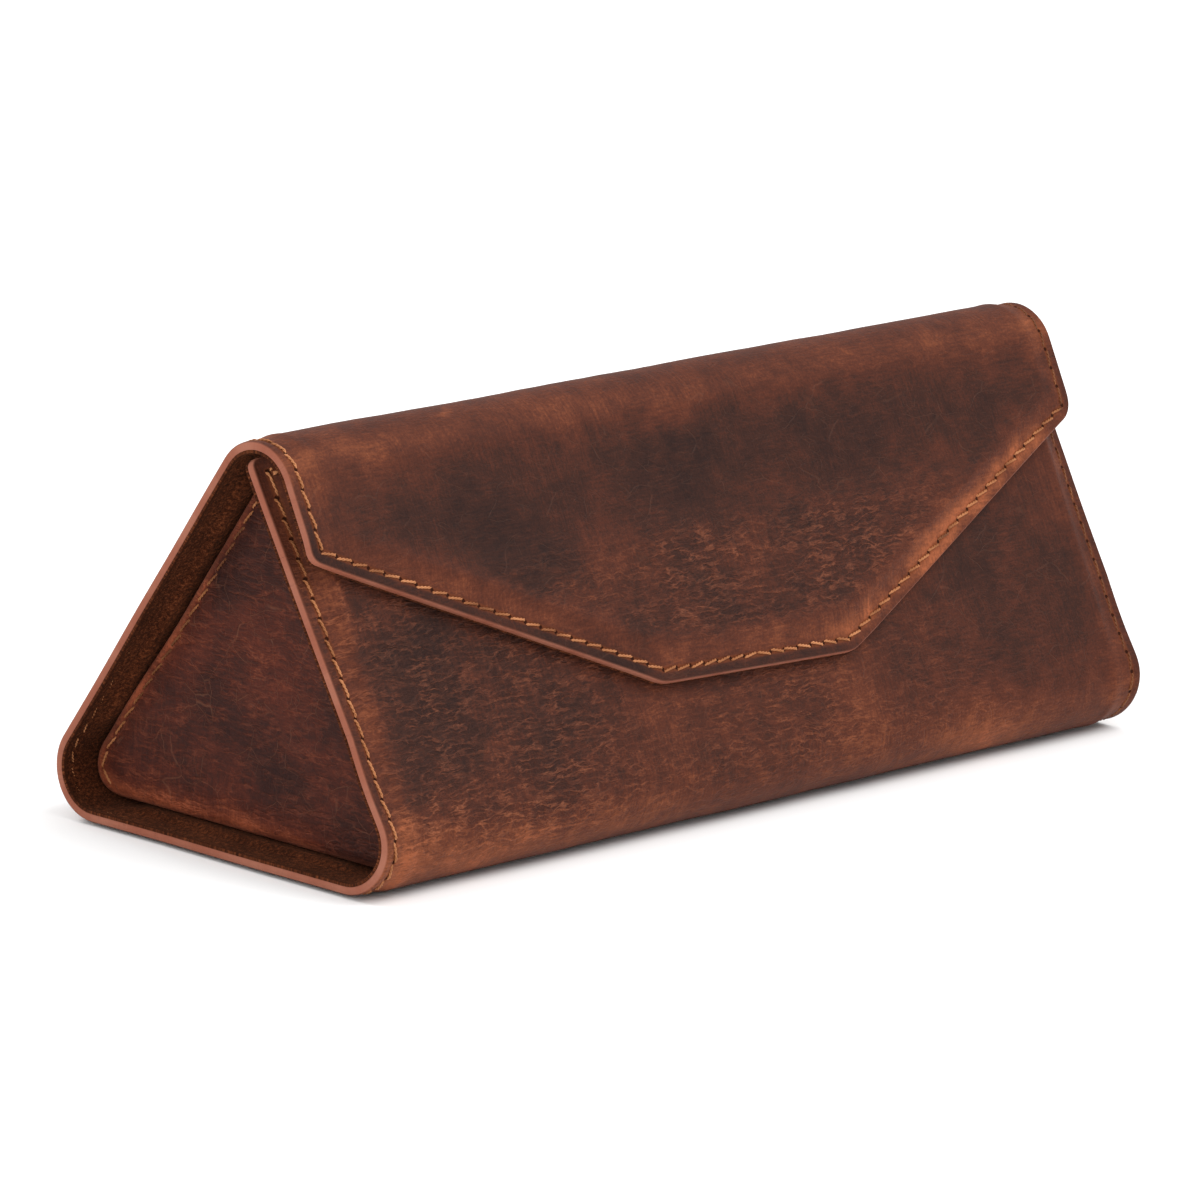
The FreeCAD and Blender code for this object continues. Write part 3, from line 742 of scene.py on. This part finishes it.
def gusset_thread(side, name, outline, material):
    """The stitches along a gusset's hem."""
    loop, normal, hem = outline
    path = loop - HEM_STITCH * normal
    path = path[int(np.flatnonzero(hem > 0.35)[0]):len(loop) - 7]
    length = np.linalg.norm(np.diff(path, axis=0), axis=1)
    length = np.concatenate([[0], np.cumsum(length)])
    places = np.linspace(0, length[-1], round(length[-1] / STITCH_PITCH) + 1)
    hole = np.stack([np.interp(places, length, path[:, 0]),
                     np.interp(places, length, path[:, 1])], -1)
    hole = hole + rng.normal(0, HOLE_SCATTER, hole.shape)
    level = np.full(len(hole) - 1, GUSSET_FACE - 0.19)
    plies = stitch_points(hole[:-1], hole[1:], level, -0.13 * side, 1)
    flat, faces = tubes(plies, GUSSET_PLY_RADIUS, PLY_SIDES)
    world = np.stack([side * flat[:, 2], flat[:, 0], flat[:, 1]], -1)
    if side < 0:
        faces = [f[::-1] for f in faces]
    values = {"skin": flat, "dull": np.full(len(flat), 0.4)}
    return new_mesh(f"gusset_thread_{name}", world, faces, values, material)


# ---- where the leather is dark or worn ----

# Middle x, middle s, half width, half height and strength of each patch: dark below 0,
# worn above 0.  They go down the flap, then down the front, then over the back and base.
PATCHES = [
    (6, S_FLAP + 9, 76, 9.5, -0.62),
    (-54, S_FLAP + 9, 16, 7, -0.30),
    (-42, S_FLAP + 16, 12, 6, -0.55),
    (-5, S_FLAP + 9, 13, 8, -0.35),
    (30, S_FLAP + 9, 9, 8, -0.35),
    (59, S_FLAP + 8, 14, 6, -0.20),
    (-24, S_FLAP + 10, 4, 12, 0.22),
    (17, S_FLAP + 9, 4, 11, 0.20),
    (-28, S_FLAP + 31, 11, 5, -0.45),
    (6, S_FLAP + 32, 20, 4, -0.25),
    (-49, S_FLAP - 8, 3.5, 1.2, 0.9),
    (-66, 38, 11, 16, -0.50),
    (-46, 43, 15, 8, -0.40),
    (-58, 24, 16, 9, -0.45),
    (-21, 48, 9, 5, 0.20),
    (14, 47, 16, 7, 0.25),
    (22, 53, 9, 4, 0.35),
    (60, 38, 21, 17, -0.50),
    (-64, S_FRONT_FOLD + 4, 15, 5, 0.50),
    (50, S_FRONT_FOLD + 5, 28, 4, 0.25),
    (-10, S_BACK + 30, 38, 12, -0.8),
    (50, S_BACK + 22, 20, 14, -0.6),
    (-55, S_BACK + 20, 14, 12, -0.4),
    (0, S_BASE + 25, 50, 12, -0.6),
]


def leather_tone(x, s):
    """How worn (above 0) or dark (below 0) the strip is: patches, edges, folds and clouds, and
    painted shade, partly dirt as well, along the edge of the flap's left-hand part.
    """
    d = rim_distance(x, s)
    tone = np.zeros(x.shape)
    wobble = 4.5 * noise_at(x, s, 11, 21.0) + 2.0 * noise_at(x, s, 4.5, 24.0)
    for px, ps, width, height, strength in PATCHES:
        across = (x - px + wobble) / width
        along = (s - ps + 0.7 * wobble) / height
        tone += strength * np.exp(-(across ** 2 + along ** 2) ** 1.4)
    on_flap = smooth(s - S_FLAP, 2, 12)
    on_front = smooth(S_FRONT_FOLD - s, -4, 4)
    amount = 0.42 + on_flap * (0.1 + 1.0 * smooth(x, 5, 35)) + 0.28 * on_front * (x < 0)
    right = on_flap * smooth(x, 5, 35)
    worn = bell(d - 3.9 + 1.8 * right, 2.3 + 0.3 * right)
    patchy = 0.9 + 0.45 * noise_at(x, s, 13, 22.0) + 0.35 * noise_at(x, s, 3.0, 25.0)
    worn = worn * amount * np.maximum(patchy, 0)
    # Painted shade, partly dirt as well: the band along the edge of the flap's left-hand part is
    # darkened in colour, as if it were shaded.
    dirt_and_painted_shade = -0.75 * on_flap * (1 - smooth(x, 15, 40)) * bell(d - 0.8, 0.9)
    fold = 0.0
    for middle, width, strength in ((S_FRONT_FOLD + 8, 5.5, 0.90), (S_REAR_FOLD + 8, 7.0, 0.6),
                                    (S_FLAP - 2.2, 2.6, 0.50), (S_APEX + 5.0, 7.0, 0.30)):
        fold = fold + strength * bell(s - middle, width)
    fold = fold * (0.85 + 0.5 * noise_at(x, s, 24, 23.0))
    cloud = 0.12 * noise_at(x, s, 6.5, 26.0) + 0.10 * noise_at(x, s, 2.6, 27.0)
    return np.clip(tone + worn + dirt_and_painted_shade + fold + cloud, -1.2, 1.4)


def gusset_tone(y, z, depth_in, is_hem, order):
    """How worn or dark a gusset is: dark at the top, worn along its hem and its foot."""
    cloud = 0.35 * noise_at(y, z, 12, 31.0 + order) + 0.2 * noise_at(y, z, 5, 33.0 + order)
    high = -0.30 * smooth(z, 30, 46)
    middle = 0.30 * bell(y - 2, 15) * bell(z - 32, 7)
    patchy = 0.8 + 0.4 * noise_at(y, z, 8, 32.0 + order)
    hem = 1.5 * smooth(2.2 - depth_in, 0, 0.9) * is_hem * patchy
    low = 1.6 * bell(depth_in - 1.2, 2.1) * smooth(12 - z, 0, 7) * smooth(y, -26, 4) * patchy
    return np.clip(-0.28 + cloud + high + middle + np.maximum(hem, low), -1.2, 1.4)


# ---- materials ----

class Graph:
    """A material's node tree, with short calls to add to it."""

    def __init__(self, name):
        self.material = bpy.data.materials.new(name)
        self.material.use_nodes = True
        self.tree = self.material.node_tree
        self.shader = self.tree.nodes["Principled BSDF"]

    def node(self, kind, inputs=(), **settings):
        item = self.tree.nodes.new(f"ShaderNode{kind}")
        for key, value in settings.items():
            setattr(item, key, value)
        for key, value in dict(inputs).items():
            self.put(item.inputs[key], value)
        return item

    def put(self, socket, value):
        if isinstance(value, bpy.types.NodeSocket):
            self.tree.links.new(value, socket)
        else:
            socket.default_value = value

    def math(self, operation, a, b=0.0, c=0.0, clamp=False):
        item = self.node("Math", operation=operation, use_clamp=clamp)
        for index, value in enumerate((a, b, c)):
            self.put(item.inputs[index], value)
        return item.outputs[0]

    def add(self, *values):
        total = values[0]
        for value in values[1:]:
            total = self.math("ADD", total, value)
        return total

    def mul(self, a, b):
        return self.math("MULTIPLY", a, b)

    def ramp(self, value, low, high, out_low=0.0, out_high=1.0):
        """A smooth step of value from low to high."""
        item = self.node("MapRange", interpolation_type="SMOOTHSTEP")
        for key, number in (("Value", value), ("From Min", low), ("From Max", high),
                            ("To Min", out_low), ("To Max", out_high)):
            self.put(item.inputs[key], number)
        return item.outputs["Result"]

    def attribute(self, name, output="Fac"):
        return self.node("Attribute", attribute_name=name).outputs[output]

    def scaled(self, vector, scale):
        return self.node("VectorMath", {0: vector, 1: scale}, operation="MULTIPLY").outputs[0]

    def noise(self, vector, size, detail=2.0, rough=0.5):
        item = self.node("TexNoise", {"Vector": vector, "Scale": 1 / size, "Detail": detail,
                                      "Roughness": rough})
        return item.outputs["Fac"]

    def warped(self, vector, size, amount):
        """vector moved about by noise, to bend straight features."""
        item = self.node("TexNoise", {"Vector": vector, "Scale": 1 / size, "Detail": 2.0})
        centred = self.node("VectorMath", {0: item.outputs["Color"], 1: (-0.5, -0.5, -0.5)},
                            operation="ADD").outputs[0]
        moved = self.scaled(centred, (amount, amount, 0))
        return self.node("VectorMath", {0: vector, 1: moved}, operation="ADD").outputs[0]

    def cells(self, vector, size, feature="DISTANCE_TO_EDGE", output="Distance"):
        item = self.node("TexVoronoi", {"Vector": vector, "Scale": 1 / size}, feature=feature)
        return item.outputs[output]

    def creases(self, vector, size, width):
        """Thin lines between irregular cells; width is a share of the cell size."""
        return self.ramp(self.cells(vector, size), width, width * 0.1)

    def ridges(self, vector, size, width):
        """Soft winding ridges, where a noise is near its middle value."""
        level = self.noise(vector, size, 2.0, 0.55)
        away = self.math("ABSOLUTE", self.math("SUBTRACT", level, 0.5))
        return self.ramp(away, width, 0.0)

    def mix(self, factor, a, b):
        item = self.node("Mix", data_type="RGBA")
        for socket, value in ((item.inputs[0], factor), (item.inputs[6], a),
                              (item.inputs[7], b)):
            if isinstance(value, tuple):
                value = (*value, 1.0)
            self.put(socket, value)
        return item.outputs[2]

    def colours(self, factor, stops):
        item = self.node("ValToRGB", {"Fac": factor})
        elements = item.color_ramp.elements
        while len(elements) < len(stops):
            elements.new(0.5)
        for element, (place, colour) in zip(elements, stops):
            element.position = place
            element.color = (*colour, 1.0)
        return item.outputs["Color"]

    def bump(self, height):
        """height is in mm."""
        return self.node("Bump", {"Height": self.mul(height, MM), "Strength": 1.0,
                                  "Distance": 1.0}).outputs["Normal"]

    def finish(self, **inputs):
        for key, value in inputs.items():
            key = key.replace("_", " ")
            if isinstance(value, tuple) and len(value) == 3:
                value = (*value, 1.0)
            self.put(self.shader.inputs[key], value)
        return self.material


# Place in the lightness and colour: dark and waxy where flat, orange where bent or worn.
PULL_UP = [
    (0.00, (0.020, 0.0080, 0.0062)),
    (0.22, (0.037, 0.0128, 0.0084)),
    (0.42, (0.066, 0.0185, 0.0104)),
    (0.58, (0.100, 0.0272, 0.0136)),
    (0.76, (0.165, 0.0472, 0.0205)),
    (1.00, (0.300, 0.0860, 0.0350))]
BURNISHED = (0.300, 0.100, 0.060)
DUSTY = (0.215, 0.088, 0.050)
LANE = (0.150, 0.038, 0.011)
# Painted shade: the stitch holes are not cut into the mesh, so this near-black colour stands in
# for the shade inside them.
HOLE_SHADE = (0.016, 0.0035, 0.0015)
GUSSET_PULL_UP = [(place, (red, 0.84 * green, 0.90 * blue))
                  for place, (red, green, blue) in PULL_UP]


def leather_strokes(g, skin):
    """Fine brushed streaks about 0, down the section in some places and along it in others."""
    upright = g.noise(g.scaled(skin, (1.0, 0.11, 1.0)), 0.5, 3.0, 0.7)
    level = g.noise(g.scaled(skin, (0.14, 1.0, 1.0)), 0.5, 3.0, 0.7)
    choose = g.ramp(g.noise(skin, 21, 1.0), 0.42, 0.58)
    rest = g.math("SUBTRACT", 1.0, choose)
    return g.math("SUBTRACT", g.add(g.mul(choose, upright), g.mul(rest, level)), 0.5)


def leather_waves(g, skin):
    """Broken ridges of drawn-up grain, stretched along the case."""
    bent = g.warped(skin, 3.2, 1.4)
    waves = g.add(g.mul(g.ridges(g.scaled(bent, (0.24, 1.0, 1.0)), 1.15, 0.090), 0.62),
                  g.mul(g.ridges(g.scaled(bent, (0.34, 1.0, 1.0)), 0.62, 0.075), 0.38))
    broken = g.ramp(g.noise(g.scaled(skin, (0.5, 1.0, 1.0)), 2.0, 2.0), 0.34, 0.62, 0.38)
    return g.mul(waves, broken)


def leather_hairs(g, skin, shape):
    """Thin creases of two sizes, in patches."""
    wide_space = g.scaled(g.warped(g.warped(skin, 11, 7.0), 3.0, 1.5), shape)
    wide = g.mul(g.creases(wide_space, 4.4, 0.016),
                 g.ramp(g.noise(skin, 6.0, 2.0), 0.44, 0.60))
    small = g.mul(g.creases(g.scaled(g.warped(skin, 4.0, 2.4), shape), 2.0, 0.026),
                  g.ramp(g.noise(skin, 4.1, 2.0), 0.48, 0.64))
    return g.math("MAXIMUM", wide, g.mul(small, 0.7))


def leather_scratches(g, skin):
    """A few short scratches down the section."""
    space = g.scaled(g.warped(skin, 9.0, 2.0), (1.0, 0.12, 1.0))
    cell = g.cells(space, 1.3, "F1", "Color")
    picked = g.ramp(g.node("SeparateColor", {"Color": cell}).outputs[0], 0.980, 0.985)
    return g.mul(picked, g.ramp(g.cells(space, 1.3, "F1"), 0.10, 0.03))


def seam_marks(g):
    """Masks of the stitch holes, whose dark colour is painted shade, and of the lane pressed
    between them.
    """
    run = g.attribute("run")
    nearest = g.math("ABSOLUTE", g.math("SUBTRACT", g.math("FRACT", g.add(run, 0.5)), 0.5))
    away = g.mul(nearest, STITCH_PITCH)
    beside = g.math("SUBTRACT", g.attribute("rim"), STITCH_MARGIN)
    distance = g.math("SQRT", g.add(g.mul(away, away), g.mul(beside, beside)))
    return g.ramp(distance, 0.36, 0.16), g.ramp(g.math("ABSOLUTE", beside), 0.60, 0.2)


def burnished_edge(g, skin):
    """Colour of the cut edge."""
    fibre = g.noise(skin, 0.5, 3.0, 0.6)
    colour = g.mix(g.mul(fibre, 0.55), BURNISHED, (0.21, 0.062, 0.036))
    return g.mix(g.ramp(g.noise(skin, 7.0, 2.0), 0.35, 0.7, 0.0, 0.5), colour,
                 (0.38, 0.16, 0.105))


def leather_material(name, stops, shift, hair, hair_shape):
    """Waxed leather.  shift lightens it; hair is the strength of its thin pale creases and
    hair_shape their stretch.
    """
    g = Graph(name)
    skin = g.attribute("skin", "Vector")
    broad = g.noise(g.warped(skin, 18, 9.0), 13, 3.0, 0.6)
    mottle = g.noise(skin, 2.6, 5.0, 0.72)
    fine = g.noise(skin, 0.45, 3.0, 0.7)
    strokes = leather_strokes(g, skin)
    wrinkled = g.math("MULTIPLY_ADD", g.attribute("pebble"), 0.85, 0.16)
    grain = g.mul(leather_waves(g, skin), wrinkled)
    hairs = leather_hairs(g, skin, hair_shape)
    scratch = leather_scratches(g, skin)
    hole, lane = seam_marks(g)

    lightness = g.add(
        g.mul(g.attribute("tone"), 0.33), shift - 0.24, g.mul(broad, 0.38),
        g.mul(mottle, 0.46), g.mul(strokes, 0.50), g.mul(fine, 0.50), g.mul(grain, 0.50),
        g.mul(wrinkled, -0.19), g.mul(scratch, 0.25))
    colour = g.colours(lightness, stops)
    lines = g.math("MAXIMUM", g.mul(hairs, hair), g.mul(g.mul(grain, grain), 0.45))
    colour = g.mix(lines, colour, DUSTY)
    colour = g.mix(g.mul(lane, 0.55), colour, LANE)
    # Painted shade in the stitch holes.
    colour = g.mix(g.mul(hole, 0.9), colour, HOLE_SHADE)
    colour = g.mix(g.attribute("edge"), colour, burnished_edge(g, skin))

    height = g.add(
        g.mul(fine, 0.05), g.mul(mottle, 0.10), g.mul(grain, 0.20), g.mul(hairs, -0.05),
        g.mul(scratch, 0.03), g.mul(hole, -0.25), g.mul(strokes, 0.04))
    roughness = g.add(0.44, g.mul(lightness, 0.14), g.mul(mottle, 0.08), g.mul(hole, 0.3))
    return g.finish(Base_Color=colour, Roughness=roughness, Normal=g.bump(height),
                    Specular_IOR_Level=0.08)


def suede_material():
    """Red-brown suede, brushed into lighter and darker clouds."""
    g = Graph("suede")
    skin = g.attribute("skin", "Vector")
    brushed = g.noise(g.warped(skin, 6, 4.0), 7.0, 3.0, 0.6)
    nap = g.noise(skin, 0.55, 4.0, 0.7)
    fuzz = g.noise(skin, 0.16, 2.0, 0.6)
    shade = g.add(-0.26, g.mul(brushed, 0.28), g.mul(nap, 0.90), g.mul(fuzz, 0.55))
    colour = g.colours(shade, [(0.42, (0.012, 0.0033, 0.0013)), (0.60, (0.054, 0.0135, 0.005)),
                               (0.80, (0.180, 0.050, 0.018))])
    height = g.add(g.mul(nap, 0.22), g.mul(fuzz, 0.10))
    return g.finish(Base_Color=colour, Roughness=0.95, Normal=g.bump(height),
                    Specular_IOR_Level=0.05, Sheen_Weight=0.05, Sheen_Roughness=0.5,
                    Sheen_Tint=(0.85, 0.45, 0.28))


def thread_material():
    """Waxed amber thread, darker where its dull attribute is high."""
    g = Graph("waxed_thread")
    skin = g.attribute("skin", "Vector")
    worn = g.noise(skin, 9.0, 2.0)
    fibre = g.noise(skin, 0.09, 3.0, 0.7)
    shade = g.add(g.mul(worn, 0.6), g.mul(fibre, 0.4))
    shade = g.add(shade, g.mul(g.attribute("dull"), -0.17))
    colour = g.colours(shade, [(0.34, (0.12, 0.036, 0.010)), (0.48, (0.32, 0.115, 0.038)),
                               (0.62, (0.54, 0.225, 0.095))])
    return g.finish(Base_Color=colour, Roughness=0.55, Normal=g.bump(g.mul(fibre, 0.03)),
                    Specular_IOR_Level=0.25)


def board_material():
    """Fibreboard of the stiffeners."""
    g = Graph("fibreboard")
    place = g.node("NewGeometry").outputs["Position"]
    fibres = g.noise(g.scaled(place, (300, 1200, 1200)), 1.0, 4.0, 0.65)
    colour = g.colours(fibres, [(0.3, (0.30, 0.22, 0.14)), (0.7, (0.46, 0.37, 0.26))])
    return g.finish(Base_Color=colour, Roughness=0.85,
                    Normal=g.bump(g.mul(fibres, 0.05)))


def metal_material(name, colour, roughness):
    """Brushed metal of the magnets and keepers."""
    g = Graph(name)
    place = g.node("NewGeometry").outputs["Position"]
    brushed = g.noise(g.scaled(place, (300, 4000, 4000)), 1.0, 2.0)
    shade = g.mix(g.mul(brushed, 0.4), colour, tuple(0.6 * c for c in colour))
    return g.finish(Base_Color=shade, Metallic=1.0,
                    Roughness=g.math("MULTIPLY_ADD", brushed, 0.15, roughness))


# ---- the case ----

def shell_levels(x, s):
    return leather_top(x, s), leather_bottom(x, s)


def shell_rim(x, s):
    return FOLD_RADIUS + drift(x, s), LINING_UNDER + 0.25 + drift(x, s)


def lining_levels(x, s):
    return lining_top(x, s), lining_bottom(x, s)


def place(pieces, slot):
    """Attach the tray piece to the tray body, and bake the transforms of the rear piece and the
    top piece into their meshes.
    """
    tray, rear, top = pieces
    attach(tray, "tray")
    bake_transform(rear)
    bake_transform(top)


def build_case():
    """The strip's leather, lining and thread, and both gussets; the tray pieces and the gussets
    go on the tray body.
    """
    leather = leather_material("pull_up_leather", PULL_UP, 0.0, 0.09, (0.35, 1.0, 1.0))
    end_leather = leather_material("gusset_leather", GUSSET_PULL_UP, 0.03, 0.27,
                                   (0.85, 0.85, 1.0))
    suede, thread = suede_material(), thread_material()

    shell = strip_pieces(["leather_tray", "leather_rear", "leather_top"], 0.6, 0.42, 0.62,
                         shell_levels, shell_rim, RIM_PROFILE, leather)
    place(shell, "leather")
    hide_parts("front_leather", "front_fold_leather", "base_leather")
    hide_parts("rear_fold_leather")
    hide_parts("back_leather", "apex_fold_leather", "flap_leather")

    lining = strip_pieces(["lining_tray", "lining_rear", "lining_top"], 0.55, 0.6, 1.1,
                          lining_levels, lining_levels, LINING_PROFILE, suede)
    place(lining, "lining")
    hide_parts("front_lining", "front_fold_lining", "base_lining")
    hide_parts("rear_fold_lining")
    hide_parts("back_lining", "apex_fold_lining", "flap_lining")

    threads = thread_pieces(["thread_tray", "thread_rear", "thread_top"], thread)
    place(threads, "thread")
    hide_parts("tray_thread")
    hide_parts("rear_fold_thread")
    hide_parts("back_thread", "apex_fold_thread", "flap_thread")

    for side, name in ((-1, "left"), (1, "right")):
        outline = gusset_loop()
        pieces = (gusset_leather(side, name, outline, end_leather),
                  gusset_lining(side, name, outline, suede),
                  gusset_thread(side, name, outline, thread))
        slots = ("gusset_leather", "lining", "thread")
        nodes = (f"{name}_gusset_leather", f"{name}_gusset_lining", f"{name}_gusset_thread")
        for piece, slot, node in zip(pieces, slots, nodes):
            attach(piece, "tray")
            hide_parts(node)


def finish_hidden_nodes():
    """Boards, magnets and keepers stay as the CAD made them."""
    board = board_material()
    nickel = metal_material("nickel", (0.72, 0.70, 0.66), 0.18)
    steel = metal_material("steel", (0.50, 0.50, 0.51), 0.35)
    for name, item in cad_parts.items():
        chosen = {"board": board, "magnets": nickel, "keepers": steel}.get(name.split("_")[-1])
        if chosen is not None:
            item.data.materials.clear()
            item.data.materials.append(chosen)


# ---- camera, floor and lights ----

def place_camera():
    """A long lens that looks at the left-hand end and the front from a little above."""
    azimuth, elevation, roll = (math.radians(a) for a in (-48.359, 13.25, 2.698))
    distance, leftward, upward = 1.393275, 0.001326, 0.025228
    back = Vector((math.sin(azimuth) * math.cos(elevation),
                   -math.cos(azimuth) * math.cos(elevation), math.sin(elevation)))
    right = Vector((0, 0, 1)).cross(back).normalized()
    up = back.cross(right)
    right, up = (math.cos(roll) * right + math.sin(roll) * up,
                 math.cos(roll) * up - math.sin(roll) * right)
    data = bpy.data.cameras.new("camera")
    data.lens = 284.73
    data.sensor_width = 36.0
    data.clip_start = 0.05
    data.clip_end = 20.0
    camera = bpy.data.objects.new("camera", data)
    turn = Matrix((right, up, back)).transposed().to_4x4()
    spot = back * distance - right * leftward + up * upward
    camera.matrix_world = Matrix.Translation(spot) @ turn
    bpy.context.scene.collection.objects.link(camera)
    bpy.context.scene.camera = camera


def add_light(name, spot, size, power):
    """A white area light that points at the middle of the case."""
    data = bpy.data.lights.new(name, "AREA")
    data.shape = "RECTANGLE"
    data.size, data.size_y = size
    data.energy = power
    light = bpy.data.objects.new(name, data)
    light.location = spot
    away = Vector(spot) - Vector((0, 0, 0.03))
    light.rotation_euler = away.to_track_quat("Z", "Y").to_euler()
    bpy.context.scene.collection.objects.link(light)


def light_studio():
    """A pale floor and background, a broad key light and two soft fills."""
    floor_mesh = bpy.data.meshes.new("floor")
    span = 4.0
    floor_mesh.from_pydata([(-span, -span, 0), (span, -span, 0), (span, span, 0),
                            (-span, span, 0)], [], [(0, 1, 2, 3)])
    floor = bpy.data.objects.new("floor", floor_mesh)
    g = Graph("pale_floor")
    cloud = g.noise(g.node("NewGeometry").outputs["Position"], 0.8, 2.0)
    tint = g.mix(cloud, (0.93, 0.93, 0.93), (0.96, 0.96, 0.955))
    floor_mesh.materials.append(g.finish(Base_Color=tint, Roughness=0.9,
                                         Specular_IOR_Level=0.1))
    bpy.context.scene.collection.objects.link(floor)

    world = bpy.data.worlds.new("studio")
    world.use_nodes = True
    background = world.node_tree.nodes["Background"]
    background.inputs["Color"].default_value = (1.0, 1.0, 1.0, 1.0)
    background.inputs["Strength"].default_value = 0.75
    bpy.context.scene.world = world

    add_light("key", (0.35, -0.75, 1.25), (1.2, 1.0), 16)
    add_light("left_fill", (-1.1, -0.5, 0.55), (0.7, 0.5), 4)
    add_light("back_top", (-0.2, 0.9, 1.0), (0.8, 0.4), 7)
    bpy.context.scene.view_settings.view_transform = "Standard"


build_case()
finish_hidden_nodes()
place_camera()
light_studio()
